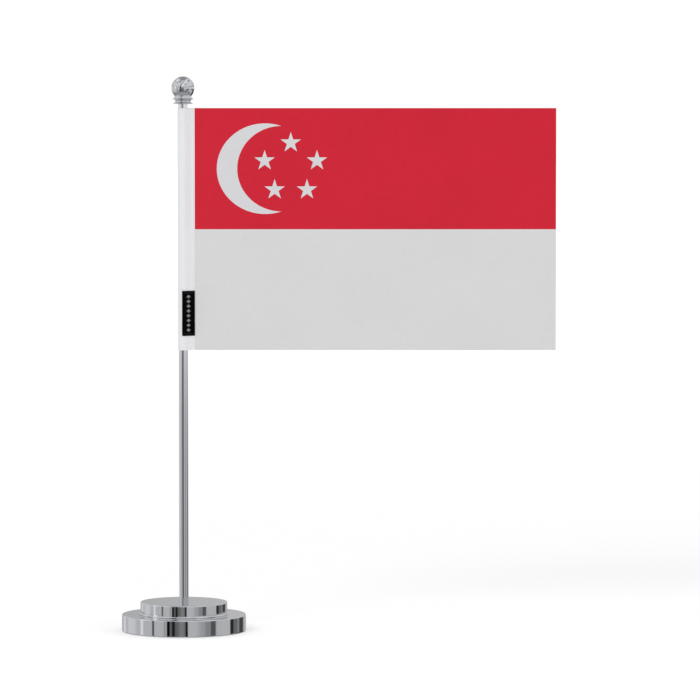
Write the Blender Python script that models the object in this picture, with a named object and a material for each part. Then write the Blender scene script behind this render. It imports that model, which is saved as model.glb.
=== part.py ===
"""Desk flag stand: a chrome two-step base, a slim pole, a screw-on ball finial and a small sleeved flag.

Frame: metres, +Z up the pole from the plane the stand rests on, +X towards the flag's fly, origin on the
pole's axis. The lengths below are in millimetres and become metres when a mesh is made.
"""

import math

import bmesh
import bpy
from mathutils import Vector

MM = 0.001

# Driving dimensions, in millimetres
PAD_PROUD = 0.3
LOWER_DISC_R = 36.25
LOWER_DISC_H = 9.6
UPPER_DISC_R = 25.35
UPPER_DISC_H = 7.25
RIM_ROUND = 0.55
COVE_R = 0.7
POLE_R = 2.7
POLE_WALL = 0.6
COLLAR_FOOT_Z = 307.45
BALL_R = 6.75
BALL_CENTRE_Z = 316.7
PANEL_FOOT_Z = 164.25
PANEL_H = 140.8
PRINT_START_X = 6.77
PRINT_W = 210.0
LABEL_LEFT_X = -0.6
LABEL_FOOT_Z = 172.7
LABEL_H = 26.2

# Clearances
REST_GAP = 0.05
SIDE_GAP = 0.3
CLOTH_GAP = 0.04

# Base details
FOOT_BEVEL = 0.4
PAD_RECESS_R = 33.5
PAD_RECESS_DEPTH = 1.1
SCREW_WELL_R = 5.2
SCREW_WELL_DEPTH = 4.0
SPIGOT_R = 8.0
SPIGOT_DEPTH = 2.0
COVE_LIP = 0.15
POLE_SOCKET_DEPTH = 2.5
POLE_SOCKET_GAP = 0.15

# M3 fasteners
THREAD_R = 1.45
THREAD_BORE_R = 1.55
PASSAGE_R = 1.7
SCREW_LENGTH = 20.0
SCREW_HEAD_R = 2.8
SCREW_HEAD_H = 2.4
SCREW_HEAD_ROUND = 0.8
DRIVE_WIDTH = 0.7
DRIVE_SPAN = 3.2
DRIVE_DEPTH = 1.3
FLAT_WASHER_R = 3.5
FLAT_WASHER_H = 0.5
SPRING_WASHER_R = 3.1
SPRING_WASHER_H = 0.8
SPRING_WASHER_RISE = 0.35
SPRING_WASHER_SPLIT_DEG = 12
WASHER_BORE_R = 1.6
PLUG_LENGTH = 12.0
STUD_ENGAGED = 6.0
STUD_IN_BALL = 5.0

# Finial collar: radii and heights above its foot
COLLAR_FOOT_R = 5.65
COLLAR_WAIST_R = 4.45
COLLAR_WAIST_Z = 1.7
COLLAR_FLANGE_R = 6.06
COLLAR_FLANGE_Z = 2.7
COLLAR_RIM_H = 0.55
COLLAR_NECK_R = 4.95
COLLAR_NECK_Z = 4.5
COLLAR_H = 4.75

# Flag details
FABRIC_T = 0.16
PANEL_T = 0.18
PANEL_TUCK = 2.1
SLEEVE_INNER_R = 2.94
TAIL_LENGTH = 1.7
SEAM_INSET = 0.8
THREAD_T = 0.14
THREAD_DIP_T = 0.07
STITCH_PITCH = 2.4
LABEL_T = 0.22
LABEL_GAP = 0.2
LABEL_THREAD_INSET = 1.2
STOP_RING_INNER_R = 2.73
STOP_RING_OUTER_R = 2.9
STOP_RING_H = 3.0
STOP_RING_INSET = 0.9

# Facets
DISC_STEPS = 64
POLE_STEPS = 40
SMALL_STEPS = 24
BALL_RINGS = 14
ARC_STEPS = 3
SHARP_ANGLE = math.radians(35)

# Heights that follow
LOWER_FOOT_Z = PAD_PROUD
LOWER_TOP_Z = LOWER_FOOT_Z + LOWER_DISC_H
UPPER_TOP_Z = LOWER_TOP_Z + UPPER_DISC_H
PAD_RECESS_Z = LOWER_FOOT_Z + PAD_RECESS_DEPTH
SCREW_WELL_Z = PAD_RECESS_Z + SCREW_WELL_DEPTH
SPIGOT_FLOOR_Z = LOWER_TOP_Z - SPIGOT_DEPTH
POLE_SOCKET_Z = UPPER_TOP_Z - POLE_SOCKET_DEPTH
POLE_FOOT_Z = POLE_SOCKET_Z + REST_GAP
POLE_TOP_Z = COLLAR_FOOT_Z - REST_GAP
FLAT_WASHER_Z = SCREW_WELL_Z - REST_GAP - FLAT_WASHER_H
SPRING_WASHER_Z = FLAT_WASHER_Z - REST_GAP - SPRING_WASHER_H
SCREW_SEAT_Z = SPRING_WASHER_Z - REST_GAP
BALL_FLAT_Z = COLLAR_FOOT_Z + COLLAR_H + REST_GAP
PRINT_END_X = PRINT_START_X + PRINT_W
TAIL_Y = PANEL_T / 2 + CLOTH_GAP


def clear_scene():
    for obj in list(bpy.data.objects):
        bpy.data.objects.remove(obj, do_unlink=True)


def make_material(name, colour, roughness, metallic=0.0):
    material = bpy.data.materials.new(name)
    material.use_nodes = True
    shader = material.node_tree.nodes["Principled BSDF"]
    shader.inputs["Base Color"].default_value = (*colour, 1.0)
    shader.inputs["Roughness"].default_value = roughness
    shader.inputs["Metallic"].default_value = metallic
    return material


def add_object(name, bm, material, parent=None, height=0.0):
    """A mesh object whose mesh is in millimetres about a point of the axis, placed at that height."""
    bmesh.ops.recalc_face_normals(bm, faces=bm.faces)
    bmesh.ops.scale(bm, vec=Vector((MM, MM, MM)), verts=bm.verts)
    mesh = bpy.data.meshes.new(name)
    bm.to_mesh(mesh)
    bm.free()
    mesh.materials.append(material)
    mesh.shade_smooth()
    mesh.set_sharp_from_angle(angle=SHARP_ANGLE)
    obj = bpy.data.objects.new(name, mesh)
    bpy.context.scene.collection.objects.link(obj)
    obj.location.z = height * MM
    obj.parent = parent
    return obj


def add_empty(name, height):
    empty = bpy.data.objects.new(name, None)
    bpy.context.scene.collection.objects.link(empty)
    empty.location.z = height * MM
    return empty


def arc(centre_r, centre_z, size_r, size_z, start_deg, end_deg, steps=ARC_STEPS):
    """Points of an elliptical arc in the (radius, height) plane."""
    points = []
    for i in range(steps + 1):
        angle = math.radians(start_deg + (end_deg - start_deg) * i / steps)
        points.append((centre_r + size_r * math.cos(angle), centre_z + size_z * math.sin(angle)))
    return points


def turned(profile, steps, ring):
    """A bmesh turned about Z from (radius, height) points. A ring's profile closes on itself."""
    bm = bmesh.new()
    verts = [bm.verts.new((r, 0.0, z)) for r, z in profile]
    pairs = list(zip(verts, verts[1:]))
    if ring:
        pairs.append((verts[-1], verts[0]))
    edges = [bm.edges.new(pair) for pair in pairs]
    bmesh.ops.spin(
        bm, geom=verts + edges, axis=(0, 0, 1), cent=(0, 0, 0), angle=math.tau, steps=steps,
        use_merge=True,
    )
    bmesh.ops.remove_doubles(bm, verts=bm.verts, dist=0.0001)
    return bm


def strip_prism(outline, low_z, high_z):
    """A bmesh with the closed (x, y) outline as its foot and its top."""
    bm = bmesh.new()
    foot = bm.faces.new([bm.verts.new((x, y, low_z)) for x, y in outline])
    made = bmesh.ops.extrude_face_region(bm, geom=[foot])
    lifted = [item for item in made["geom"] if isinstance(item, bmesh.types.BMVert)]
    bmesh.ops.translate(bm, vec=(0, 0, high_z - low_z), verts=lifted)
    return bm


# Base


def lower_disc(material):
    top = LOWER_TOP_Z
    profile = [
        (LOWER_DISC_R - FOOT_BEVEL, LOWER_FOOT_Z),
        (LOWER_DISC_R, LOWER_FOOT_Z + FOOT_BEVEL),
        *arc(LOWER_DISC_R - RIM_ROUND, top - RIM_ROUND, RIM_ROUND, RIM_ROUND, 0, 90),
        (SPIGOT_R + REST_GAP, top),
        (SPIGOT_R + REST_GAP, SPIGOT_FLOOR_Z),
        (PASSAGE_R, SPIGOT_FLOOR_Z),
        (PASSAGE_R, SCREW_WELL_Z),
        (SCREW_WELL_R, SCREW_WELL_Z),
        (SCREW_WELL_R, PAD_RECESS_Z),
        (PAD_RECESS_R, PAD_RECESS_Z),
        (PAD_RECESS_R, LOWER_FOOT_Z),
    ]
    return add_object("lower_disc", turned(profile, DISC_STEPS, ring=True), material)


def upper_disc(material):
    foot = LOWER_TOP_Z + REST_GAP
    cove_z = foot + COVE_LIP + COVE_R
    cove_r = UPPER_DISC_R + COVE_R
    profile = [
        (cove_r, foot),
        *arc(cove_r, cove_z, COVE_R, COVE_R, 270, 180),
        *arc(UPPER_DISC_R - RIM_ROUND, UPPER_TOP_Z - RIM_ROUND, RIM_ROUND, RIM_ROUND, 0, 90),
        (POLE_R + POLE_SOCKET_GAP, UPPER_TOP_Z),
        (POLE_R + POLE_SOCKET_GAP, POLE_SOCKET_Z),
        (PASSAGE_R, POLE_SOCKET_Z),
        (PASSAGE_R, SPIGOT_FLOOR_Z + REST_GAP),
        (SPIGOT_R, SPIGOT_FLOOR_Z + REST_GAP),
        (SPIGOT_R, foot),
    ]
    return add_object("upper_disc", turned(profile, DISC_STEPS, ring=True), material)


def base_pad(material):
    """A full disc that covers the screw's well."""
    rim = PAD_RECESS_R - SIDE_GAP
    top = PAD_RECESS_Z - REST_GAP
    profile = [(0.0, 0.0), (rim, 0.0), (rim, top), (0.0, top)]
    return add_object("base_pad", turned(profile, DISC_STEPS, ring=False), material)


def washer_profile(outer_r, height):
    return [(outer_r, 0.0), (outer_r, height), (WASHER_BORE_R, height), (WASHER_BORE_R, 0.0)]


def flat_washer(material):
    bm = turned(washer_profile(FLAT_WASHER_R, FLAT_WASHER_H), SMALL_STEPS, ring=True)
    return add_object("flat_washer", bm, material, height=FLAT_WASHER_Z)


def spring_washer(material):
    """A split ring whose two ends stand a little apart in height."""
    section_h = SPRING_WASHER_H - SPRING_WASHER_RISE
    section = washer_profile(SPRING_WASHER_R, section_h)
    bm = bmesh.new()
    verts = [bm.verts.new((r, 0.0, z)) for r, z in section]
    face = bm.faces.new(verts)
    sweep = math.tau - math.radians(SPRING_WASHER_SPLIT_DEG)
    bmesh.ops.spin(
        bm, geom=[face], axis=(0, 0, 1), cent=(0, 0, 0), angle=sweep, steps=SMALL_STEPS,
    )
    for vert in bm.verts:
        turn = math.atan2(vert.co.y, vert.co.x) % math.tau
        vert.co.z += SPRING_WASHER_RISE * turn / sweep
    return add_object("spring_washer", bm, material, height=SPRING_WASHER_Z)


def drive_cutter(angle_deg):
    """One bar of the screw head's cross recess, left out of the model."""
    bm = bmesh.new()
    bmesh.ops.create_cube(bm, size=1.0)
    bmesh.ops.scale(bm, vec=Vector((DRIVE_SPAN, DRIVE_WIDTH, 2 * DRIVE_DEPTH)), verts=bm.verts)
    name = f"drive_cutter_{angle_deg}"
    cutter = add_object(name, bm, bpy.data.materials["steel"], height=SCREW_SEAT_Z - SCREW_HEAD_H)
    cutter.rotation_euler.z = math.radians(angle_deg)
    cutter.hide_render = True
    cutter.display_type = "WIRE"
    return cutter


def base_screw(material):
    """Head down, shank up; heights from the head's seat."""
    round_r = SCREW_HEAD_R - SCREW_HEAD_ROUND
    round_z = -SCREW_HEAD_H + SCREW_HEAD_ROUND
    profile = [
        (0.0, -SCREW_HEAD_H),
        *arc(round_r, round_z, SCREW_HEAD_ROUND, SCREW_HEAD_ROUND, 270, 360),
        (SCREW_HEAD_R, 0.0),
        (THREAD_R, 0.0),
        (THREAD_R, SCREW_LENGTH - SIDE_GAP),
        (THREAD_R - SIDE_GAP, SCREW_LENGTH),
        (0.0, SCREW_LENGTH),
    ]
    screw = add_object(
        "base_screw", turned(profile, SMALL_STEPS, ring=False), material, height=SCREW_SEAT_Z
    )
    for angle in (0, 90):
        cut = screw.modifiers.new(f"drive {angle}", "BOOLEAN")
        cut.operation = "DIFFERENCE"
        cut.object = drive_cutter(angle)
    return screw


# Pole


def pole_tube(material):
    inner = POLE_R - POLE_WALL
    edge = 0.15
    profile = [
        (POLE_R - edge, POLE_FOOT_Z),
        (POLE_R, POLE_FOOT_Z + edge),
        (POLE_R, POLE_TOP_Z - edge),
        (POLE_R - edge, POLE_TOP_Z),
        (inner, POLE_TOP_Z),
        (inner, POLE_FOOT_Z),
    ]
    return add_object("pole_tube", turned(profile, POLE_STEPS, ring=True), material)


def threaded_plug(name, low_z, material):
    outer = POLE_R - POLE_WALL - REST_GAP
    high_z = low_z + PLUG_LENGTH
    profile = [(outer, low_z), (outer, high_z), (THREAD_BORE_R, high_z), (THREAD_BORE_R, low_z)]
    return add_object(name, turned(profile, SMALL_STEPS, ring=True), material)


# Finial


def finial_collar(material, parent):
    """A spool between two thin flanges, with a neck that the ball sits on; heights from its foot."""
    waist_fall = COLLAR_WAIST_Z - COLLAR_RIM_H
    waist_rise = COLLAR_FLANGE_Z - COLLAR_WAIST_Z
    flange_top = COLLAR_FLANGE_Z + COLLAR_RIM_H
    neck_rise = COLLAR_NECK_Z - flange_top
    profile = [
        (COLLAR_FOOT_R - COLLAR_RIM_H / 2, 0.0),
        (COLLAR_FOOT_R, COLLAR_RIM_H / 2),
        *arc(COLLAR_FOOT_R, COLLAR_WAIST_Z, COLLAR_FOOT_R - COLLAR_WAIST_R, waist_fall, 270, 180),
        *arc(COLLAR_FLANGE_R, COLLAR_WAIST_Z, COLLAR_FLANGE_R - COLLAR_WAIST_R, waist_rise, 180, 90)[1:],
        (COLLAR_FLANGE_R, flange_top),
        *arc(COLLAR_FLANGE_R, COLLAR_NECK_Z, COLLAR_FLANGE_R - COLLAR_NECK_R, neck_rise, 270, 180)[1:],
        (COLLAR_NECK_R, COLLAR_H),
        (PASSAGE_R, COLLAR_H),
        (PASSAGE_R, 0.0),
    ]
    return add_object("finial_collar", turned(profile, POLE_STEPS, ring=True), material, parent)


def finial_ball(material, parent):
    """A ball with a flat under it and a blind bore for the stud; heights from the ball's centre."""
    flat_z = BALL_FLAT_Z - BALL_CENTRE_Z
    flat_deg = math.degrees(math.asin(flat_z / BALL_R))
    bore_top = flat_z + STUD_IN_BALL + REST_GAP
    bore_r = THREAD_R + REST_GAP
    profile = [
        (0.0, bore_top),
        (bore_r, bore_top),
        (bore_r, flat_z),
        *arc(0.0, 0.0, BALL_R, BALL_R, flat_deg, 90, BALL_RINGS)[:-1],
        (0.0, BALL_R),
    ]
    ball = add_object("finial_ball", turned(profile, POLE_STEPS, ring=False), material, parent)
    ball.location.z = (BALL_CENTRE_Z - COLLAR_FOOT_Z) * MM
    return ball


def finial_stud(material, parent):
    low = -STUD_ENGAGED - REST_GAP
    high = BALL_FLAT_Z - COLLAR_FOOT_Z + STUD_IN_BALL
    profile = [
        (0.0, low),
        (THREAD_R - SIDE_GAP, low),
        (THREAD_R, low + SIDE_GAP),
        (THREAD_R, high),
        (0.0, high),
    ]
    return add_object("finial_stud", turned(profile, SMALL_STEPS, ring=False), material, parent)


# Flag


def sleeve_path(extra=0.0, steps=30):
    """The line of the sleeve's inner face moved out by extra, from the front layer's sewn edge, round
    the pole and back along the rear layer."""
    radius = SLEEVE_INNER_R + extra
    tail_y = TAIL_Y + extra
    knee_x = PRINT_START_X - TAIL_LENGTH
    reach = math.hypot(knee_x, tail_y)
    tangent = math.acos(radius / reach) + math.atan2(tail_y, knee_x)
    path = [(PRINT_START_X, -tail_y), (knee_x, -tail_y)]
    sweep = math.tau - 2 * tangent
    for i in range(steps + 1):
        angle = -tangent - sweep * i / steps
        path.append((radius * math.cos(angle), radius * math.sin(angle)))
    path += [(knee_x, tail_y), (PRINT_START_X, tail_y)]
    return path


def stop_ring(material, parent):
    low = STOP_RING_INSET
    high = low + STOP_RING_H
    profile = [
        (STOP_RING_OUTER_R, low),
        (STOP_RING_OUTER_R, high),
        (STOP_RING_INNER_R, high),
        (STOP_RING_INNER_R, low),
    ]
    return add_object("stop_ring", turned(profile, POLE_STEPS, ring=True), material, parent)


def pole_sleeve(material, parent):
    outline = sleeve_path() + sleeve_path(FABRIC_T)[::-1]
    return add_object("pole_sleeve", strip_prism(outline, 0.0, PANEL_H), material, parent)


def flag_panel(material, parent):
    left = PRINT_START_X - PANEL_TUCK
    half = PANEL_T / 2
    outline = [(left, -half), (PRINT_END_X, -half), (PRINT_END_X, half), (left, half)]
    return add_object("flag_panel", strip_prism(outline, 0.0, PANEL_H), material, parent)


def stitch_row(centre_at, outward_at, length):
    """A thread lying along a row of stitches, thick between its needle holes and thin at them.

    centre_at(distance) is a point of the sewn face and outward_at(distance) the face's normal there."""
    count = round(length / STITCH_PITCH)
    pitch = length / count
    bm = bmesh.new()
    rings = []
    for i in range(2 * count + 1):
        distance = i * pitch / 2
        thick = THREAD_T if i % 2 else THREAD_DIP_T
        half = thick / 2
        normal = outward_at(distance)
        ahead = (centre_at(distance + pitch / 8) - centre_at(distance - pitch / 8)).normalized()
        side = normal.cross(ahead)
        centre = centre_at(distance) + normal * (CLOTH_GAP + half)
        corners = (normal * half, side * half, -normal * half, -side * half)
        rings.append([bm.verts.new(centre + corner) for corner in corners])
    for ring, following in zip(rings, rings[1:]):
        for k in range(4):
            bm.faces.new((ring[k], ring[(k + 1) % 4], following[(k + 1) % 4], following[k]))
    bm.faces.new(rings[0])
    bm.faces.new(rings[-1])
    return bm


def seam_thread(name, side, material, parent):
    """The seam's thread on the front (side -1) or the back (side 1) of the sleeve."""
    face_y = side * (TAIL_Y + FABRIC_T)
    seam_x = PRINT_START_X - SEAM_INSET

    def centre_at(distance):
        return Vector((seam_x, face_y, SEAM_INSET + distance))

    def outward_at(distance):
        return Vector((0, side, 0))

    bm = stitch_row(centre_at, outward_at, PANEL_H - 2 * SEAM_INSET)
    return add_object(name, bm, material, parent)


def label_face(extra):
    """The label's run over the front of the sleeve, from its sewn edge to its free one."""
    path = sleeve_path(FABRIC_T + LABEL_GAP + extra, steps=48)
    run = []
    for x, y in path[:-2]:
        if x < LABEL_LEFT_X:
            break
        run.append((x, y))
    (before_x, before_y), (last_x, last_y) = run[-1], path[len(run)]
    share = (LABEL_LEFT_X - before_x) / (last_x - before_x)
    run.append((LABEL_LEFT_X, before_y + share * (last_y - before_y)))
    return run


def side_label(material, parent):
    outline = label_face(0.0) + label_face(LABEL_T)[::-1]
    low = LABEL_FOOT_Z - PANEL_FOOT_Z
    return add_object("side_label", strip_prism(outline, low, low + LABEL_H), material, parent)


def label_thread(name, height, material, parent):
    """Stitches across the label, along its face, at a height above the panel's foot."""
    face = [Vector((x, y, height)) for x, y in label_face(LABEL_T)]
    lengths = [(b - a).length for a, b in zip(face, face[1:])]
    margin = 0.5

    def centre_at(distance):
        left = distance + margin
        for a, b, length in zip(face, face[1:], lengths):
            if left <= length:
                return a.lerp(b, left / length)
            left -= length
        return face[-1] + (face[-1] - face[-2]).normalized() * left

    def outward_at(distance):
        step = 0.4
        ahead = centre_at(distance + step) - centre_at(distance - step)
        return ahead.cross(Vector((0, 0, 1))).normalized() * -1

    bm = stitch_row(centre_at, outward_at, sum(lengths) - 2 * margin)
    return add_object(name, bm, material, parent)


def main():
    clear_scene()
    chrome = make_material("chrome", (0.62, 0.63, 0.65), 0.05, 1.0)
    steel = make_material("steel", (0.45, 0.45, 0.46), 0.35, 1.0)
    brass = make_material("brass", (0.72, 0.55, 0.25), 0.3, 1.0)
    foam = make_material("foam", (0.02, 0.02, 0.02), 0.95)
    print_cloth = make_material("print_cloth", (0.61, 0.02, 0.04), 0.85)
    white_cloth = make_material("white_cloth", (0.75, 0.75, 0.77), 0.85)
    label_weave = make_material("label_weave", (0.003, 0.003, 0.003), 0.7)
    white_thread = make_material("white_thread", (0.8, 0.8, 0.8), 0.6)
    black_thread = make_material("black_thread", (0.01, 0.01, 0.01), 0.6)
    clear_ring = make_material("clear_ring", (0.8, 0.82, 0.82), 0.2)

    lower_disc(chrome)
    upper_disc(chrome)
    base_pad(foam)
    base_screw(steel)
    spring_washer(steel)
    flat_washer(steel)
    pole_tube(chrome)
    threaded_plug("pole_foot_plug", POLE_FOOT_Z, brass)
    threaded_plug("pole_top_plug", POLE_TOP_Z - PLUG_LENGTH, brass)

    finial = add_empty("finial_axis", COLLAR_FOOT_Z)
    finial_collar(chrome, finial)
    finial_ball(chrome, finial)
    finial_stud(steel, finial)

    flag = add_empty("flag_axis", PANEL_FOOT_Z)
    stop_ring(clear_ring, flag)
    pole_sleeve(white_cloth, flag)
    flag_panel(print_cloth, flag)
    seam_thread("needle_thread", -1, white_thread, flag)
    seam_thread("bobbin_thread", 1, white_thread, flag)
    side_label(label_weave, flag)
    low = LABEL_FOOT_Z - PANEL_FOOT_Z
    label_thread("label_bottom_thread", low + LABEL_THREAD_INSET, black_thread, flag)
    label_thread("label_top_thread", low + LABEL_H - LABEL_THREAD_INSET, black_thread, flag)


main()
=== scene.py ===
"""The looks of the desk flag stand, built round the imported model.

Lengths are in metres, in the frame of the CAD: +Z up the pole, +X towards the fly, -Y towards the viewer.
"""

import math

import bmesh
import bpy
import numpy as np
from mathutils import Matrix, Vector
from mathutils.geometry import delaunay_2d_cdt


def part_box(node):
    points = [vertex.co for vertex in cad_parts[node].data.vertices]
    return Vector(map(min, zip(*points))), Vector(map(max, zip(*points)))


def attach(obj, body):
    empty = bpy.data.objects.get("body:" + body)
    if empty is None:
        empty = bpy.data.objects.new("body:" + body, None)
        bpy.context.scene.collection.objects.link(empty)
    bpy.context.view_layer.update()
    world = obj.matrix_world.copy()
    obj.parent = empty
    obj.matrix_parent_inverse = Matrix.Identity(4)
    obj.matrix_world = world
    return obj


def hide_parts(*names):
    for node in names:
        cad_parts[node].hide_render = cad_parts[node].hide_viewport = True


MM = 0.001
DEGREE = 180 / math.pi

# Small shapes that the CAD boxes do not give
RIM_ROUND = 0.55 * MM
COVE_R = 0.7 * MM
COVE_LIP = 0.15 * MM
FOOT_BEVEL = 0.4 * MM
EDGE_BREAK = 0.12 * MM
SIDE_GAP = 0.3 * MM
REST_GAP = 0.05 * MM
SOCKET_GAP = 0.15 * MM
SOCKET_DEPTH = 2.5 * MM
SPIGOT_R = 8.0 * MM
SPIGOT_DEPTH = 2.0 * MM
SCREW_WELL_R = 5.2 * MM
PASSAGE_R = 1.7 * MM
WASHER_BORE_R = 1.6 * MM
POLE_WALL = 0.6 * MM
THREAD_PITCH = 0.5 * MM
THREAD_STEPS = 40
SUPPORT = 0.2 * MM

# Cloth
FABRIC_T = 0.16 * MM
PANEL_TUCK = 2.1 * MM
CLOTH_GAP = 0.04 * MM
TAIL_LENGTH = 1.7 * MM
SLEEVE_INNER_R = 2.94 * MM
SEAM_INSET = 0.8 * MM
STITCH_PITCH = 2.4 * MM
THREAD_R = 0.085 * MM
LABEL_T = 0.22 * MM
LABEL_GAP = 0.2 * MM
LABEL_THREAD_INSET = 1.2 * MM
LABEL_COLUMNS, LABEL_ROWS = 36, 132
WEAVE_PITCH = 0.42 * MM
PUCKER_DEPTH = 0.035 * MM
PUCKER_REACH = 0.9 * MM
LABEL_RIM_DRAW = 0.25

# The flag's wave: cycles along the flag and up it, phase and share of each part
RIPPLE = 0.9 * MM
RIPPLE_PARTS = [(0.95, 0.22, 0.6, 0.55), (1.7, -0.45, 2.1, 0.28), (0.5, -0.9, 4.0, 0.17)]

# The sleeve's unevenness: radians per metre up it and round it, and share of each part
WRINKLE = 0.03 * MM
WRINKLE_LIMIT = 0.02 * MM
WRINKLE_PARTS = [(330, 500, 0.5), (810, -900, 0.3)]

# The label's lozenges, in cells of its grid
MARK_MARGIN = 10
MARK_PITCH = 14
MARK_HALF_WIDTH = 6.1
MARK_HALF_HEIGHT = 5.1

# The charge, as shares of the flag's height, from the print's upper hoist corner. An ellipse is its
# middle's x, its half width and its half height.
CHARGE_Z = 0.25
CRESCENT_OUTER = (0.291, 0.200, 0.187)
CRESCENT_INNER = (0.358, 0.1826, 0.1764)
STAR_RING = (0.3966, 0.1136, 0.1071)
STAR_R = 0.0443
STAR_WAIST = 0.382
STAR_ARMS = 5
STAR_COUNT = 5

# Camera
VIEW_TARGET = Vector((0.0970, 0.0, 0.1643))
VIEW_WIDTH = 0.4076
VIEW_ELEVATION = math.radians(3.69)
VIEW_DISTANCE = 3.09
SENSOR = 36.0

# Floor and lights: each lamp's place, diameter and power, and the soft light from below and above
FLOOR_RADIUS = 20.0
LIGHT_AIM = Vector((0.08, 0.0, 0.17))
KEY_LIGHT = (Vector((-1.6, -3.2, 2.4)), 1.6, 32.5)
FILL_LIGHT = (Vector((2.6, -2.2, 1.2)), 2.0, 9.5)
SOFT_LOW, SOFT_HIGH = 0.588, 0.693
BACKDROP = 1.02

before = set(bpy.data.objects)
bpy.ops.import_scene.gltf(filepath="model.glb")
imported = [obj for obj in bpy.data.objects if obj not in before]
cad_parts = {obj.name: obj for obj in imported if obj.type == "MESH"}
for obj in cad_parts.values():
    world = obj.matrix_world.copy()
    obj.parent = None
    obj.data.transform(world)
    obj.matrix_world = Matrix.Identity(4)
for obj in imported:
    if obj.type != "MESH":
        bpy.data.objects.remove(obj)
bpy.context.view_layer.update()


# Node helpers


class Nodes:
    """A short way to write a material's or the world's nodes."""

    def __init__(self, owner):
        owner.use_nodes = True
        self.tree = owner.node_tree
        self.tree.nodes.clear()

    def add(self, kind, **settings):
        node = self.tree.nodes.new("ShaderNode" + kind)
        for name, value in settings.items():
            setattr(node, name, value)
        return node

    def link(self, source, target):
        self.tree.links.new(source, target)

    def put(self, value, socket):
        """Sets the socket to a number or a colour, or links it to another socket."""
        if isinstance(value, bpy.types.NodeSocket):
            self.link(value, socket)
        else:
            socket.default_value = value

    def coords(self):
        return self.add("TexCoord").outputs["Object"]

    def turn(self, across, ahead):
        """The angle of a direction from straight ahead, in degrees."""
        return self.math("MULTIPLY", self.math("ARCTAN2", across, ahead), DEGREE)

    def split(self, vector):
        node = self.add("SeparateXYZ")
        self.link(vector, node.inputs[0])
        return node.outputs

    def math(self, operation, a, b=0.0, c=0.0):
        node = self.add("Math", operation=operation)
        for value, socket in zip((a, b, c), node.inputs):
            self.put(value, socket)
        return node.outputs[0]

    def remap(self, value, low, high, to_low=0.0, to_high=1.0):
        """A smooth step from to_low to to_high, as the value goes from low to high."""
        node = self.add("MapRange", interpolation_type="SMOOTHSTEP")
        for item, socket in zip((value, low, high, to_low, to_high), node.inputs):
            self.put(item, socket)
        return node.outputs[0]

    def feed(self, node, **inputs):
        """Sets or links a node's inputs by name, with _ for a space."""
        for name, value in inputs.items():
            self.put(value, node.inputs[name.replace("_", " ")])
        return node

    def noise(self, coords, scale, detail=2.0, roughness=0.5):
        node = self.add("TexNoise")
        self.feed(node, Vector=coords, Scale=scale, Detail=detail, Roughness=roughness)
        return node.outputs["Fac"]

    def stretch(self, coords, scale):
        return self.feed(self.add("Mapping"), Vector=coords, Scale=scale).outputs[0]

    def mix(self, share, first, second):
        """A mix of two colours."""
        node = self.add("Mix", data_type="RGBA")
        for value, index in ((share, 0), (first, 6), (second, 7)):
            self.put(value, node.inputs[index])
        return node.outputs[2]

    def blend(self, share, first, second):
        """A mix of two numbers."""
        node = self.add("Mix", data_type="FLOAT")
        for value, index in ((share, 0), (first, 2), (second, 3)):
            self.put(value, node.inputs[index])
        return node.outputs[0]

    def bump(self, height, distance, strength=1.0, normal=None):
        node = self.feed(self.add("Bump"), Strength=strength, Distance=distance, Height=height)
        if normal is not None:
            self.link(normal, node.inputs["Normal"])
        return node.outputs[0]

    def principled(self, **inputs):
        shader = self.feed(self.add("BsdfPrincipled"), **inputs)
        self.feed(self.add("OutputMaterial"), Surface=shader.outputs[0])


def new_material(name):
    material = bpy.data.materials.new(name)
    return material, Nodes(material)


def grey(value):
    """An sRGB grey from 0 to 255 as a linear value."""
    share = value / 255
    return ((share + 0.055) / 1.055) ** 2.4 if share > 0.04045 else share / 12.92


def colour(red, green, blue):
    return (grey(red), grey(green), grey(blue), 1.0)


def shade(base, factor):
    """A colour made lighter or darker."""
    return tuple(min(value * factor, 1.0) for value in base[:3]) + (1.0,)


# Materials


def chrome_material(name, lathe_marks):
    """Mirror chrome plate: handling smudges, hair scratches and, on turned faces, faint lathe marks."""
    material, n = new_material(name)
    coords = n.coords()
    smudge = n.remap(n.noise(coords, 70.0, 5.0, 0.6), 0.45, 0.75)
    scratch_a = n.noise(n.stretch(coords, (2600.0, 2600.0, 90.0)), 1.0, 2.0)
    scratch_b = n.noise(n.stretch(coords, (120.0, 3000.0, 3000.0)), 1.0, 2.0)
    scratch = n.math("MULTIPLY", scratch_a, scratch_b)
    roughness = n.math("MULTIPLY_ADD", smudge, 0.035, 0.035)
    roughness = n.math("MULTIPLY_ADD", scratch, 0.03, roughness)
    normal = n.bump(scratch, 0.004 * MM, 0.25)
    if lathe_marks:
        x, y, _ = n.split(coords)
        squares = n.math("ADD", n.math("MULTIPLY", x, x), n.math("MULTIPLY", y, y))
        turns = n.math("MULTIPLY", n.math("SQRT", squares), math.tau / (0.35 * MM))
        normal = n.bump(n.math("SINE", turns), 0.002 * MM, 0.15, normal)
    tint = n.mix(smudge, (0.768, 0.780, 0.818, 1.0), (0.740, 0.748, 0.776, 1.0))
    n.principled(Base_Color=tint, Metallic=1.0, Roughness=roughness, Normal=normal)
    return material


def metal_material(name, low, high, roughness, grain=900.0):
    """Plain machined or plated metal with a mottled finish and a fine grain."""
    material, n = new_material(name)
    coords = n.coords()
    mottle = n.noise(coords, grain, 4.0)
    fine = n.noise(coords, grain * 9, 2.0)
    rough = n.math("MULTIPLY_ADD", mottle, 0.18, roughness)
    normal = n.bump(fine, 0.01 * MM, 0.3)
    n.principled(Base_Color=n.mix(mottle, low, high), Metallic=1.0, Roughness=rough, Normal=normal)
    return material


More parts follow.
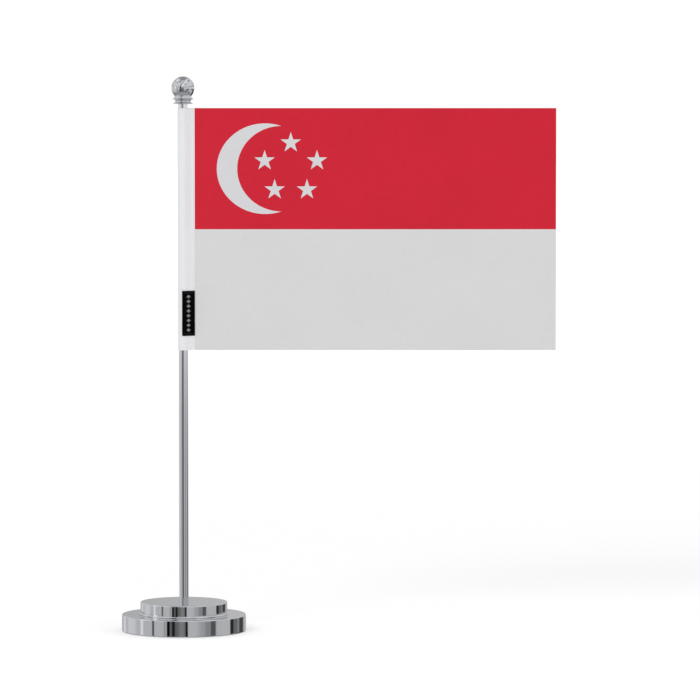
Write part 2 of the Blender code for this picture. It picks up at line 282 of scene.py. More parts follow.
def foam_material():
    """Closed-cell foam: black, matt, with fine open pores."""
    material, n = new_material("foam")
    coords = n.coords()
    cells = n.feed(n.add("TexVoronoi"), Vector=coords, Scale=2200.0)
    pores = n.remap(cells.outputs["Distance"], 0.1, 0.6)
    mottle = n.noise(coords, 300.0, 4.0)
    tint = n.mix(mottle, (0.012, 0.012, 0.013, 1.0), (0.028, 0.028, 0.030, 1.0))
    n.principled(Base_Color=tint, Roughness=0.93, Normal=n.bump(pores, 0.06 * MM, 0.8))
    return material


def silicone_material():
    material, n = new_material("clear_silicone")
    cloud = n.noise(n.coords(), 500.0, 3.0)
    rough = n.math("MULTIPLY_ADD", cloud, 0.1, 0.12)
    n.principled(
        Base_Color=(0.93, 0.95, 0.95, 1.0), Roughness=rough, Transmission_Weight=0.85, IOR=1.41,
        Normal=n.bump(cloud, 0.01 * MM, 0.2),
    )
    return material


def cloth_coords(n, pitch):
    """The cloth's own coordinates, counted in threads: across the warp and along it."""
    cloth = n.add("UVMap", uv_map="cloth").outputs[0]
    x, y, _ = n.split(cloth)
    return cloth, n.math("DIVIDE", x, pitch), n.math("DIVIDE", y, pitch)


def weave_height(n, across, along):
    """Plain weave: warp and weft threads take turns on top."""
    warp = n.math("SINE", n.math("MULTIPLY", across, math.pi))
    weft = n.math("SINE", n.math("MULTIPLY", along, math.pi))
    over = n.remap(n.math("MULTIPLY", warp, weft), -0.4, 0.4)
    first = n.math("MULTIPLY", n.math("ABSOLUTE", warp), over)
    second = n.math("MULTIPLY", n.math("ABSOLUTE", weft), n.math("SUBTRACT", 1.0, over))
    return n.math("ADD", first, second)


def woven_material(name, base, contrast, pitch=WEAVE_PITCH):
    """Woven polyester: thread-by-thread bump, slubs that run along the threads, and a soft sheen."""
    material, n = new_material(name)
    cloth, across, along = cloth_coords(n, pitch)
    weave = weave_height(n, across, along)
    slub_warp = n.noise(n.stretch(cloth, (1 / pitch, 1 / (18 * pitch), 1.0)), 0.9, 2.0)
    slub_weft = n.noise(n.stretch(cloth, (1 / (22 * pitch), 1 / pitch, 1.0)), 0.9, 2.0)
    cloud = n.noise(cloth, 28.0, 3.0)
    tone = n.math("ADD", slub_warp, slub_weft)
    tone = n.math("ADD", tone, cloud)
    # The weave's height also lightens the colour: painted light on the threads' crowns and painted shade
    # between them, on top of the slubs' and cloud's own random tone.
    tone = n.math("MULTIPLY_ADD", weave, 0.35, tone)
    tint = n.mix(n.remap(tone, 1.1, 2.2), shade(base, 1 - contrast), shade(base, 1 + contrast))
    height = n.math("MULTIPLY_ADD", slub_warp, 0.4, weave)
    height = n.math("MULTIPLY_ADD", slub_weft, 0.4, height)
    n.principled(
        Base_Color=tint, Roughness=0.82, Sheen_Weight=0.12, Sheen_Roughness=0.5,
        Specular_IOR_Level=0.25, Normal=n.bump(height, 0.05 * MM, 0.6),
    )
    return material


def label_material(name, base, lustre):
    """Damask label weave: fine satin threads in diagonal steps."""
    material, n = new_material(name)
    _, across, along = cloth_coords(n, 0.24 * MM)
    steps = n.math("SINE", n.math("MULTIPLY", n.math("ADD", across, along), math.pi))
    ribs = n.math("SINE", n.math("MULTIPLY", along, math.tau))
    height = n.math("MULTIPLY_ADD", ribs, 0.5, steps)
    # The colour follows the weave's height: painted light on the raised threads and painted shade in the low
    # ones, from darker and lighter copies of one colour.
    tint = n.mix(n.remap(height, -1.5, 1.5), shade(base, 0.75), shade(base, 1.25))
    n.principled(
        Base_Color=tint, Roughness=0.5, Specular_IOR_Level=lustre, Normal=n.bump(height, 0.04 * MM, 0.9)
    )
    return material


def thread_material(name, base):
    material, n = new_material(name)
    fibre = n.noise(n.stretch(n.coords(), (9000.0, 9000.0, 2500.0)), 1.0, 2.0)
    tint = n.mix(fibre, shade(base, 0.8), base)
    n.principled(
        Base_Color=tint, Roughness=0.55, Sheen_Weight=0.2, Normal=n.bump(fibre, 0.01 * MM, 0.4)
    )
    return material


CHROME_TURNED = chrome_material("chrome_turned", lathe_marks=True)
CHROME_DRAWN = chrome_material("chrome_drawn", lathe_marks=False)
ZINC = metal_material("zinc_plate", (0.42, 0.43, 0.45, 1.0), (0.60, 0.60, 0.60, 1.0), 0.25)
BRASS = metal_material("turned_brass", (0.62, 0.43, 0.17, 1.0), (0.78, 0.60, 0.29, 1.0), 0.22)
FOAM = foam_material()
SILICONE = silicone_material()
PRINT_RED = woven_material("print_red", colour(214, 34, 55), 0.06)
PRINT_WHITE = woven_material("print_white", colour(225, 225, 225), 0.025)
CHARGE_WHITE = woven_material("charge_white", colour(224, 223, 225), 0.025)
BACK_RED = woven_material("print_red_back", colour(222, 74, 88), 0.08)
SLEEVE_WHITE = woven_material("sleeve_white", colour(243, 243, 246), 0.02)
LABEL_BLACK = label_material("label_black", (0.0015, 0.0015, 0.0016, 1.0), 0.06)
LABEL_MARK = label_material("label_mark", (0.30, 0.30, 0.30, 1.0), 0.3)
WHITE_THREAD = thread_material("white_thread", colour(240, 240, 242))
BLACK_THREAD = thread_material("black_thread", (0.008, 0.008, 0.008, 1.0))


# Mesh helpers


def add_object(name, data):
    made = bpy.data.objects.new(name, data)
    bpy.context.scene.collection.objects.link(made)
    return made


def finish_piece(mesh, materials, body, node, smooth_deg=35.0):
    """Puts a mesh in the scene as a piece that rides on a body and stands for its CAD node."""
    for material in materials:
        mesh.materials.append(material)
    mesh.shade_smooth()
    mesh.set_sharp_from_angle(angle=math.radians(smooth_deg))
    piece = add_object(mesh.name, mesh)
    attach(piece, body)
    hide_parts(node)
    return piece


def mesh_from(name, verts, faces):
    mesh = bpy.data.meshes.new(name)
    mesh.from_pydata([tuple(vert) for vert in verts], [], faces)
    mesh.validate()
    return mesh


def arc(centre_x, centre_y, size_x, size_y, start_deg, end_deg, steps=8):
    """Points along an ellipse's arc, with both its ends."""
    angles = [math.radians(start_deg + (end_deg - start_deg) * i / steps) for i in range(steps + 1)]
    return [(centre_x + size_x * math.cos(a), centre_y + size_y * math.sin(a)) for a in angles]


def broken_edge(r, z, turn_in, turn_out, size=EDGE_BREAK):
    """A small two-point bevel at a corner; the turns are the unit steps back and ahead along the profile."""
    before = (r + turn_in[0] * size, z + turn_in[1] * size)
    after = (r + turn_out[0] * size, z + turn_out[1] * size)
    return [before, after]


def ring_section(inner, outer, low_z, high_z, size=EDGE_BREAK):
    """The profile of a plain ring with broken edges."""
    return [
        *broken_edge(inner, low_z, (0, 1), (1, 0), size),
        *broken_edge(outer, low_z, (-1, 0), (0, 1), size),
        *broken_edge(outer, high_z, (0, -1), (-1, 0), size),
        *broken_edge(inner, high_z, (1, 0), (0, -1), size),
    ]


def supported(profile):
    """Adds a point near both ends of each long stretch, so that smooth shading stays flat between."""
    points = []
    for (r, z), (next_r, next_z) in zip(profile, profile[1:] + profile[:1]):
        points.append((r, z))
        length = math.hypot(next_r - r, next_z - z)
        if length > 4 * SUPPORT:
            share = SUPPORT / length
            for part in (share, 1 - share):
                points.append((r + (next_r - r) * part, z + (next_z - z) * part))
    return points


def ring_mesh(name, rings, ends):
    """A mesh through rings of points. Its two ends are "joined" to each other, closed "flat", or closed by
    fans to a pair of points."""
    count, last = len(rings[0]), len(rings) - 1
    sides = [(k, (k + 1) % count) for k in range(count)]
    steps = [(i, i + 1) for i in range(last)] + ([(last, 0)] if ends == "joined" else [])
    verts = [point for ring in rings for point in ring]
    faces = [
        (i * count + k, i * count + m, j * count + m, j * count + k) for i, j in steps for k, m in sides
    ]
    if ends == "flat":
        faces.append(tuple(range(count))[::-1])
        faces.append(tuple(last * count + k for k in range(count)))
    elif ends != "joined":
        foot = len(verts)
        verts += ends
        for k, m in sides:
            faces.append((foot, m, k))
            faces.append((foot + 1, last * count + k, last * count + m))
    return mesh_from(name, verts, faces)


def turned_ring(z, steps, radius_at):
    """Points round the Z axis at a height; radius_at gives the radius at a share of the turn."""
    ring = []
    for k in range(steps):
        turn = math.tau * k / steps
        radius = radius_at(k / steps)
        ring.append((radius * math.cos(turn), radius * math.sin(turn), z))
    return ring


def round_rings(profile, steps):
    """A plain ring at each (radius, height) of a profile."""
    return [turned_ring(z, steps, lambda share, r=r: r) for r, z in profile]


def turned_mesh(name, profile, steps=160):
    """A mesh turned about Z from a (radius, height) profile that runs up the outside, so faces point out.

    A profile whose ends lie on the axis is closed by fans there, and any other closes on itself."""
    solid = profile[0][0] < 1e-9 and profile[-1][0] < 1e-9
    rows = profile[1:-1] if solid else profile
    ends = [(0.0, 0.0, profile[0][1]), (0.0, 0.0, profile[-1][1])] if solid else "joined"
    return ring_mesh(name, round_rings(rows, steps), ends)


def face_outwards(mesh):
    bm = bmesh.new()
    bm.from_mesh(mesh)
    bmesh.ops.recalc_face_normals(bm, faces=bm.faces)
    bm.to_mesh(mesh)
    bm.free()


def finish_cloth(mesh, point_uv, slots=()):
    """Turns the faces outwards, gives each its material slot, and stores each corner's place in the cloth,
    in metres along the weave."""
    if slots:
        mesh.polygons.foreach_set("material_index", slots)
    face_outwards(mesh)
    layer = mesh.uv_layers.new(name="cloth")
    index = np.empty(len(mesh.loops), np.int32)
    mesh.loops.foreach_get("vertex_index", index)
    layer.data.foreach_set("uv", np.asarray(point_uv, np.float32)[index].ravel())


# Base


def lower_disc():
    low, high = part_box("lower_disc")
    pad_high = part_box("base_pad")[1]
    washer_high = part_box("flat_washer")[1].z
    outer, foot, top = high.x, low.z, high.z
    pad_r = pad_high.x + SIDE_GAP
    pad_z = pad_high.z + REST_GAP
    well_z = washer_high + REST_GAP
    spigot_r = SPIGOT_R + REST_GAP
    profile = [
        (pad_r, foot),
        (outer - FOOT_BEVEL, foot),
        *arc(outer - FOOT_BEVEL, foot + FOOT_BEVEL, FOOT_BEVEL, FOOT_BEVEL, -80, -10, 4),
        *arc(outer - RIM_ROUND, top - RIM_ROUND, RIM_ROUND, RIM_ROUND, 0, 90, 10),
        *broken_edge(spigot_r, top, (1, 0), (0, -1)),
        (spigot_r, top - SPIGOT_DEPTH),
        (PASSAGE_R, top - SPIGOT_DEPTH),
        (PASSAGE_R, well_z),
        (SCREW_WELL_R, well_z),
        *broken_edge(SCREW_WELL_R, pad_z, (0, 1), (1, 0)),
        (pad_r, pad_z),
    ]
    mesh = turned_mesh("lower_disc_plate", supported(profile))
    finish_piece(mesh, [CHROME_TURNED], "stand", "lower_disc")


def upper_disc():
    low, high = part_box("upper_disc")
    lower_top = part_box("lower_disc")[1].z
    outer = high.x - COVE_R
    foot, top = lower_top + REST_GAP, high.z
    cove_z = foot + COVE_LIP + COVE_R
    socket_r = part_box("pole_tube")[1].x + SOCKET_GAP
    profile = [
        (SPIGOT_R, low.z),
        (SPIGOT_R, foot),
        (outer + COVE_R, foot),
        *arc(outer + COVE_R, cove_z, COVE_R, COVE_R, 270, 180, 12),
        *arc(outer - RIM_ROUND, top - RIM_ROUND, RIM_ROUND, RIM_ROUND, 0, 90, 10),
        *broken_edge(socket_r, top, (1, 0), (0, -1)),
        (socket_r, top - SOCKET_DEPTH),
        (PASSAGE_R, top - SOCKET_DEPTH),
        (PASSAGE_R, low.z),
    ]
    mesh = turned_mesh("upper_disc_plate", supported(profile))
    finish_piece(mesh, [CHROME_TURNED], "stand", "upper_disc")


def base_pad():
    low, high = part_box("base_pad")
    soft = 0.25 * MM
    profile = [
        (0.0, low.z),
        *[(high.x * share, low.z) for share in (0.25, 0.5, 0.75, 0.95)],
        *arc(high.x - soft, low.z + soft, soft, soft, -90, 0, 5),
        (high.x, high.z),
        (0.0, high.z),
    ]
    mesh = turned_mesh("foam_pad", profile, 128)
    finish_piece(mesh, [FOAM], "stand", "base_pad")


def thread_rings(low_z, high_z, count, start_z, radius, cut):
    """Rings of a right-hand V thread between two heights, with its turns counted from start_z. Its roots
    lie cut inside the radius, or outside it where cut is negative, and it fades out over a pitch."""
    rings = []
    for i in range(count + 1):
        z = low_z + (high_z - low_z) * i / count
        depth = cut * min(z - low_z, high_z - z, THREAD_PITCH) / THREAD_PITCH

        def radius_at(share):
            phase = ((z - start_z) / THREAD_PITCH - share) % 1.0
            return radius - depth * abs(2 * phase - 1)

        rings.append(turned_ring(z, THREAD_STEPS, radius_at))
    return rings


def threaded_shank(name, below, above, low_z, high_z, radius):
    """A turned shank with a V thread between two heights. The profile below it starts on the axis, and the
    profile above it ends there."""
    rows_per_turn, depth = 8, 0.3 * MM
    count = int((high_z - low_z) / THREAD_PITCH * rows_per_turn)
    rings = round_rings(below[1:], THREAD_STEPS)
    rings += thread_rings(low_z, high_z, count, low_z, radius, depth)
    rings += round_rings(above[:-1], THREAD_STEPS)
    return ring_mesh(name, rings, [(0.0, 0.0, below[0][1]), (0.0, 0.0, above[-1][1])])


def cut_cross_recess(piece, height, span, width, depth):
    """Cuts a tapered cross into a screw head from below."""
    inner_share = 0.35
    for turn in (0.0, math.pi / 2):
        bm = bmesh.new()
        bmesh.ops.create_cube(bm, size=1.0)
        for vert in bm.verts:
            taper = inner_share if vert.co.z > 0 else 1.0
            vert.co = Vector((vert.co.x * span * taper, vert.co.y * width, vert.co.z * 2 * depth))
        bmesh.ops.rotate(bm, matrix=Matrix.Rotation(turn, 3, "Z"), verts=bm.verts)
        bmesh.ops.translate(bm, vec=(0, 0, height), verts=bm.verts)
        mesh = bpy.data.meshes.new("cross_cutter")
        bm.to_mesh(mesh)
        bm.free()
        cutter = add_object("cross_cutter", mesh)
        cut = piece.modifiers.new("cross", "BOOLEAN")
        cut.operation = "DIFFERENCE"
        cut.object = cutter
        graph = bpy.context.evaluated_depsgraph_get()
        made = bpy.data.meshes.new_from_object(piece.evaluated_get(graph))
        piece.modifiers.clear()
        piece.data = made
        bpy.data.objects.remove(cutter)


def base_screw():
    """An M3 pan-head screw, head down, with a cross recess and a rolled thread."""
    low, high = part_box("base_screw")
    head_r, round_r, shank_r = high.x, 0.8 * MM, 1.45 * MM
    crown_r, crown_drop = head_r - round_r - 0.6 * MM, 0.03 * MM
    cross_span, cross_width, cross_depth = 3.2 * MM, 0.7 * MM, 1.3 * MM
    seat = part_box("spring_washer")[0].z - REST_GAP
    thread_low, thread_high = seat + 1.0 * MM, high.z - 0.2 * MM
    below = [
        (0.0, low.z),
        (crown_r, low.z + crown_drop),
        *arc(head_r - round_r, low.z + round_r, round_r, round_r, -80, 0, 8),
        *broken_edge(head_r, seat, (0, -1), (-1, 0), 0.1 * MM),
        (shank_r, seat),
    ]
    above = [(shank_r - SIDE_GAP, high.z), (0.0, high.z)]
    mesh = threaded_shank("pan_head_screw", below, above, thread_low, thread_high, shank_r)
    piece = finish_piece(mesh, [ZINC], "stand", "base_screw")
    cut_cross_recess(piece, low.z, cross_span, cross_width, cross_depth)


def flat_washer():
    low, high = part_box("flat_washer")
    profile = ring_section(WASHER_BORE_R, high.x, low.z, high.z, 0.06 * MM)
    mesh = turned_mesh("plain_washer", profile, 72)
    finish_piece(mesh, [ZINC], "stand", "flat_washer")


def spring_washer():
    """A split lock washer with broken edges and a small rise between its ends."""
    low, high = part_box("spring_washer")
    rise, steps, sweep = 0.35 * MM, 72, math.radians(348)
    section = ring_section(WASHER_BORE_R, high.x, 0.0, high.z - low.z - rise, 0.05 * MM)
    rings = []
    for i in range(steps + 1):
        turn = sweep * i / steps
        lift = low.z + rise * i / steps
        rings.append([(r * math.cos(turn), r * math.sin(turn), z + lift) for r, z in section])
    mesh = ring_mesh("split_washer", rings, "flat")
    face_outwards(mesh)
    finish_piece(mesh, [ZINC], "stand", "spring_washer")


# Pole


def pole_tube():
    low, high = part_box("pole_tube")
    profile = ring_section(high.x - POLE_WALL, high.x, low.z, high.z)
    mesh = turned_mesh("pole", supported(profile), 96)
    finish_piece(mesh, [CHROME_DRAWN], "stand", "pole_tube")


def threaded_plug(name, node):
    """A turned plug with broken edges, a lead-in at both ends of its bore and an internal thread."""
    low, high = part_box(node)
    outer, bore, lead = high.x, 1.55 * MM, 0.3 * MM
    rows_per_turn, depth = 6, 0.25 * MM
    count = int((high.z - low.z) / THREAD_PITCH * rows_per_turn)
    outside = [
        *broken_edge(outer, low.z, (-1, 0), (0, 1)),
        *broken_edge(outer, high.z, (0, -1), (-1, 0)),
        (bore + lead, high.z),
    ]
    rings = round_rings(outside, THREAD_STEPS)
    rings += thread_rings(low.z + lead, high.z - lead, count, low.z, bore, -depth)[::-1]
    rings += round_rings([(bore + lead, low.z)], THREAD_STEPS)
    finish_piece(ring_mesh(name, rings, "joined"), [BRASS], "stand", node)


# Finial


def finial_collar():
    """A spool between two flanges, with a flared neck that the ball sits on."""
    low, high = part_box("finial_collar")
    foot_r, waist_r, flange_r, neck_r = 5.65 * MM, 4.45 * MM, high.x, 4.95 * MM
    foot, rim, soft = low.z, 0.55 * MM, 0.16 * MM
    waist_z, flange_z, neck_z = foot + 1.7 * MM, foot + 2.7 * MM, foot + 4.5 * MM
    flange_top = flange_z + rim
    foot_reach, flange_reach = foot_r - soft - waist_r, flange_r - soft - waist_r
    neck_reach = flange_r - soft - neck_r
    profile = [
        (PASSAGE_R, foot),
        *arc(foot_r - soft, foot + soft, soft, soft, -90, 0, 4),
        *arc(foot_r - soft, foot + rim - soft, soft, soft, 0, 90, 4)[:-1],
        *arc(foot_r - soft, waist_z, foot_reach, waist_z - foot - rim, 270, 180, 14),
        *arc(flange_r - soft, waist_z, flange_reach, flange_z - waist_z, 176, 90, 14),
        *arc(flange_r - soft, flange_z + soft, soft, soft, -90, 0, 4)[1:],
        *arc(flange_r - soft, flange_top - soft, soft, soft, 0, 90, 4)[:-1],
        *arc(flange_r - soft, neck_z, neck_reach, neck_z - flange_top, 270, 180, 14),
        *broken_edge(neck_r, high.z, (0, -1), (-1, 0), 0.08 * MM),
        *broken_edge(PASSAGE_R, high.z, (1, 0), (0, -1)),
    ]
    mesh = turned_mesh("spool_collar", supported(profile), 128)
    finish_piece(mesh, [CHROME_TURNED], "collar", "finial_collar")


def finial_ball():
    low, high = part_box("finial_ball")
    radius = high.x
    centre_z = high.z - radius
    flat_deg = math.degrees(math.asin((low.z - centre_z) / radius))
    bore_r = 1.5 * MM
    bore_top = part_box("finial_stud")[1].z + REST_GAP
    profile = [
        (0.0, bore_top),
        (bore_r, bore_top),
        *broken_edge(bore_r, low.z, (0, 1), (1, 0)),
        *arc(0.0, centre_z, radius, radius, flat_deg, 90, 56)[:-1],
        (0.0, high.z),
    ]
    mesh = turned_mesh("ball", profile, 128)
    finish_piece(mesh, [CHROME_TURNED], "ball", "finial_ball")


def finial_stud():
    low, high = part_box("finial_stud")
    shank_r = high.x
    thread_low, thread_high = low.z + 0.25 * MM, high.z - 0.1 * MM
    below = [(0.0, low.z), (shank_r - SIDE_GAP, low.z)]
    above = [(shank_r - 0.1 * MM, high.z), (0.0, high.z)]
    mesh = threaded_shank("threaded_stud", below, above, thread_low, thread_high, shank_r)
    finish_piece(mesh, [ZINC], "ball", "finial_stud")


# Flag


def flag_box():
    """The panel's corners, and the x where the print starts."""
    low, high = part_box("flag_panel")
    return low, high, low.x + PANEL_TUCK


def ripple(x, z):
    """How far the cloth stands out of its plane: nothing at the sleeve, a slow wave towards the fly."""
    low, high, print_x = flag_box()
    u = max(x - print_x, 0.0) / (high.x - print_x)
    v = (z - low.z) / (high.z - low.z)
    grow = u * u * (3 - 2 * u)
    wave = sum(
        part * math.sin(math.tau * (along * u + up * v) + phase) for along, up, phase, part in RIPPLE_PARTS
    )
    return RIPPLE * grow * wave


def crescent_outline(steps=72):
    """The crescent between two ellipses, as (share right, share down) from its row's middle."""
    outer_x, outer_a, outer_b = CRESCENT_OUTER
    inner_x, inner_a, inner_b = CRESCENT_INNER
    outer_k, inner_k = (outer_b / outer_a) ** 2, (inner_b / inner_a) ** 2
    # The tips are where the ellipses cross, which makes a quadratic in x.
    square = outer_k - inner_k
    linear = -2 * (outer_x * outer_k - inner_x * inner_k)
    plain = outer_x**2 * outer_k - inner_x**2 * inner_k - outer_b**2 + inner_b**2
    root = math.sqrt(linear**2 - 4 * square * plain)
    tips = [(-linear + sign * root) / (2 * square) for sign in (-1, 1)]
    tip_x = min(tips, key=lambda x: abs(x - outer_x))
    outer_tip = math.degrees(math.acos((tip_x - outer_x) / outer_a))
    inner_tip = math.degrees(math.acos((tip_x - inner_x) / inner_a))
    outer = arc(outer_x, 0.0, outer_a, outer_b, outer_tip, 360 - outer_tip, steps)
    inner = arc(inner_x, 0.0, inner_a, inner_b, 360 - inner_tip, inner_tip, steps)
    return outer + inner[1:-1]


def star_outline(centre_x, centre_down):
    points = []
    for i in range(2 * STAR_ARMS):
        radius = STAR_R * (STAR_WAIST if i % 2 else 1.0)
        angle = math.pi * i / STAR_ARMS
        points.append((centre_x + radius * math.sin(angle), centre_down - radius * math.cos(angle)))
    return points


def charge_outlines():
    """The crescent and the stars as closed outlines in metres, in the panel's own (x, z) plane."""
    low, high, print_x = flag_box()
    tall = high.z - low.z
    ring_x, ring_a, ring_b = STAR_RING
    shares = [crescent_outline()]
    for i in range(STAR_COUNT):
        turn = math.tau * i / STAR_COUNT
        shares.append(star_outline(ring_x + ring_a * math.sin(turn), -ring_b * math.cos(turn)))
    return [
        [(print_x + right * tall, high.z - (CHARGE_Z + down) * tall) for right, down in outline]
        for outline in shares
    ]


def inside(outline, x, z):
    """Whether a point lies in a closed outline, by counting crossings."""
    found = False
    for (ax, az), (bx, bz) in zip(outline, outline[1:] + outline[:1]):
        if (az > z) != (bz > z) and x < ax + (bx - ax) * (z - az) / (bz - az):
            found = not found
    return found


def flag_plan(step=3.5 * MM):
    """A triangle mesh of the flag's face that follows the print: (points, triangles, region of each)."""
    low, high, print_x = flag_box()
    middle = (low.z + high.z) / 2
    outlines = charge_outlines()
    points, edges = [], []

    def add_loop(loop, closed=True):
        first = len(points)
        points.extend(Vector(point) for point in loop)
        count = len(loop)
        edges.extend((first + i, first + (i + 1) % count) for i in range(count if closed else count - 1))

    def stretch(start, end):
        """Points from start up to but not including end, about a step apart."""
        count = max(2, round((Vector(end) - Vector(start)).length / step))
        return [Vector(start).lerp(Vector(end), i / count) for i in range(count)]

    corners = [(low.x, low.z), (print_x, low.z), (high.x, low.z), (high.x, middle), (high.x, high.z)]
    corners += [(print_x, high.z), (low.x, high.z), (low.x, middle)]
    rim = []
    for start, end in zip(corners, corners[1:] + corners[:1]):
        rim += stretch(start, end)
    add_loop(rim)
    for start, end in (((print_x, low.z), (print_x, high.z)), ((low.x, middle), (high.x, middle))):
        add_loop(stretch(start, end) + [end], closed=False)
    for outline in outlines:
        add_loop(outline)
    across = int((high.x - print_x) / step)
    tall = int((high.z - low.z) / step)
    for i in range(1, across):
        for j in range(1, tall):
            shift = 0.5 if j % 2 else 0.0
            x = print_x + (high.x - print_x) * (i + shift) / (across + 1)
            points.append(Vector((x, low.z + (high.z - low.z) * j / tall)))
    made, _, triangles, *_ = delaunay_2d_cdt(points, edges, [], 0, 1e-7)
    regions = []
    for triangle in triangles:
        x = sum(made[i].x for i in triangle) / 3
        z = sum(made[i].y for i in triangle) / 3
        if x < print_x:
            regions.append("hoist")
        elif any(inside(outline, x, z) for outline in outlines):
            regions.append("charge")
        else:
            regions.append("red" if z > middle else "white")
    return made, triangles, regions


def flag_panel():
    """The printed cloth: a front and a back face joined round their rim, coloured by region."""
    low, high, _ = flag_box()
    half = (high.y - low.y) / 2
    plan, triangles, regions = flag_plan()
    verts = [(p.x, ripple(p.x, p.y) + side, p.y) for side in (-half, half) for p in plan]
    count = len(plan)
    faces, slots = [], []
    materials = [PRINT_RED, PRINT_WHITE, CHARGE_WHITE, SLEEVE_WHITE, BACK_RED]
    front = {"red": 0, "white": 1, "charge": 2, "hoist": 3}
    back = {"red": 4, "white": 1, "charge": 1, "hoist": 3}
    sides = {}
    for triangle, region in zip(triangles, regions):
        a, b, c = triangle
        faces.append((a, b, c))
        slots.append(front[region])
        faces.append((a + count, c + count, b + count))
        slots.append(back[region])
        for edge in ((a, b), (b, c), (c, a)):
            sides[edge] = region
    for (a, b), region in sides.items():
        if (b, a) not in sides:
            faces.append((b, a, a + count, b + count))
            slots.append(front[region])
    mesh = mesh_from("printed_flag", verts, faces)
    finish_cloth(mesh, [(p[0], p[2]) for p in verts], slots)
    piece = finish_piece(mesh, materials, "flag", "flag_panel", 60)
    piece.visible_glossy = False


def sleeve_path(extra, steps=44):
    """Points of the line at a distance outside the sleeve's inner face, from the front layer's sewn
    edge round the pole to the rear layer's."""
    low, high, print_x = flag_box()
    radius = SLEEVE_INNER_R + extra
    tail_y = (high.y - low.y) / 2 + CLOTH_GAP + extra
    knee_x = print_x - TAIL_LENGTH
    reach = math.hypot(knee_x, tail_y)
    tangent = math.acos(radius / reach) + math.atan2(tail_y, knee_x)
    touch = Vector((radius * math.cos(tangent), -radius * math.sin(tangent)))
    knee = Vector((knee_x, -tail_y))
    path = [Vector((print_x, -tail_y)).lerp(knee, i / 6) for i in range(6)]
    path += [knee.lerp(touch, i / 8) for i in range(8)]
    bend = arc(0.0, 0.0, radius, radius, -math.degrees(tangent), -180, steps // 2)
    path += [Vector(point) for point in bend]
    mirrored = [Vector((point.x, -point.y)) for point in path[:-1]]
    return path + mirrored[::-1]


def run_lengths(path):
    """The distance along a path at each of its points."""
    total, lengths = 0.0, [0.0]
    for a, b in zip(path, path[1:]):
        total += (b - a).length
        lengths.append(total)
    return lengths


def pucker(x, z, low_z):
    """How far the seam's stitches pull the cloth in, next to the seam line."""
    _, _, print_x = flag_box()
    near = max(0.0, 1 - abs(x - (print_x - SEAM_INSET)) / PUCKER_REACH)
    beat = 0.5 + 0.5 * math.cos(math.tau * (z - low_z - SEAM_INSET) / STITCH_PITCH)
    return PUCKER_DEPTH * near * beat


def soft_wrinkle(distance, z):
    """Slight unevenness of the sleeve's cloth."""
    return WRINKLE * sum(share * math.sin(z * up + distance * turn) for up, turn, share in WRINKLE_PARTS)


def pole_sleeve():
    low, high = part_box("pole_sleeve")
    inner, outer = sleeve_path(0.0), sleeve_path(FABRIC_T)
    lengths = run_lengths(outer)
    rows = int((high.z - low.z) / (STITCH_PITCH / 2))
    outline = [(point, along, False) for point, along in zip(inner, lengths)]
    outline += [(point, along, True) for point, along in zip(outer[::-1], lengths[::-1])]
    rings, uvs = [], []
    for i in range(rows + 1):
        z = low.z + (high.z - low.z) * i / rows
        ring = []
        for point, along, is_outer in outline:
            pull = 1.0
            if is_outer:
                shift = soft_wrinkle(along, z) - pucker(point.x, z, low.z)
                pull += min(shift, WRINKLE_LIMIT) / max(point.length, SLEEVE_INNER_R)
            ring.append((point.x, point.y * pull, z))
            uvs.append((along, z))
        rings.append(ring)
    mesh = ring_mesh("sleeve", rings, "flat")
    finish_cloth(mesh, uvs)
    finish_piece(mesh, [SLEEVE_WHITE], "flag", "pole_sleeve", 50)


def label_run(extra):
    """The label's line over the front of the sleeve, from its sewn edge to its free one."""
    low_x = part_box("side_label")[0].x
    path = sleeve_path(FABRIC_T + LABEL_GAP + extra, steps=80)
    run = []
    for point, following in zip(path, path[1:]):
        run.append(point)
        if following.x < low_x:
            run.append(point.lerp(following, (low_x - point.x) / (following.x - point.x)))
            break
    return run


def point_along(run, lengths, distance):
    j = max(k for k in range(len(run) - 1) if lengths[k] <= distance + 1e-12)
    return run[j].lerp(run[j + 1], (distance - lengths[j]) / (lengths[j + 1] - lengths[j]))


def even_run(run, count):
    """The same line with evenly spaced points."""
    lengths = run_lengths(run)
    return [point_along(run, lengths, lengths[-1] * i / count) for i in range(count + 1)]


def on_mark(column, row):
    """Whether a cell of the label's grid lies in its row of lozenges."""
    if not MARK_MARGIN <= row < LABEL_ROWS - MARK_MARGIN:
        return False
    across = abs(column + 0.5 - LABEL_COLUMNS / 2) / MARK_HALF_WIDTH
    along = abs((row - MARK_MARGIN) % MARK_PITCH + 0.5 - MARK_PITCH / 2) / MARK_HALF_HEIGHT
    return across + along < 1


def side_label():
    """A woven label with rounded edges, plain but for a row of small lozenges."""
    low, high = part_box("side_label")
    columns, rows = LABEL_COLUMNS, LABEL_ROWS
    inner = even_run(label_run(0.0), columns)
    outer = even_run(label_run(LABEL_T), columns)
    lengths = run_lengths(outer)
    verts, uvs = [], []
    for run, other in ((inner, outer), (outer, inner)):
        for j in range(rows + 1):
            z = low.z + (high.z - low.z) * j / rows
            for i, point in enumerate(run):
                at_edge = min(i, columns - i, j, rows - j) == 0
                place = point.lerp(other[i], LABEL_RIM_DRAW if at_edge else 0.0)
                verts.append((place.x, place.y, z))
                uvs.append((lengths[i], z))
    width = columns + 1
    layer = width * (rows + 1)
    faces, slots = [], []
    for j in range(rows):
        for i in range(columns):
            a = j * width + i
            faces.append((a, a + 1, a + width + 1, a + width))
            slots.append(0)
            faces.append((layer + a, layer + a + width, layer + a + width + 1, layer + a + 1))
            slots.append(1 if on_mark(i, j) else 0)
    rim = list(range(columns))
    rim += [j * width + columns for j in range(rows)]
    rim += [rows * width + i for i in range(columns, 0, -1)]
    rim += [j * width for j in range(rows, 0, -1)]
    for a, b in zip(rim, rim[1:] + rim[:1]):
        faces.append((b, a, a + layer, b + layer))
        slots.append(0)
    mesh = mesh_from("woven_label", verts, faces)
    finish_cloth(mesh, uvs, slots)
    finish_piece(mesh, [LABEL_BLACK, LABEL_MARK], "flag", "side_label", 50)


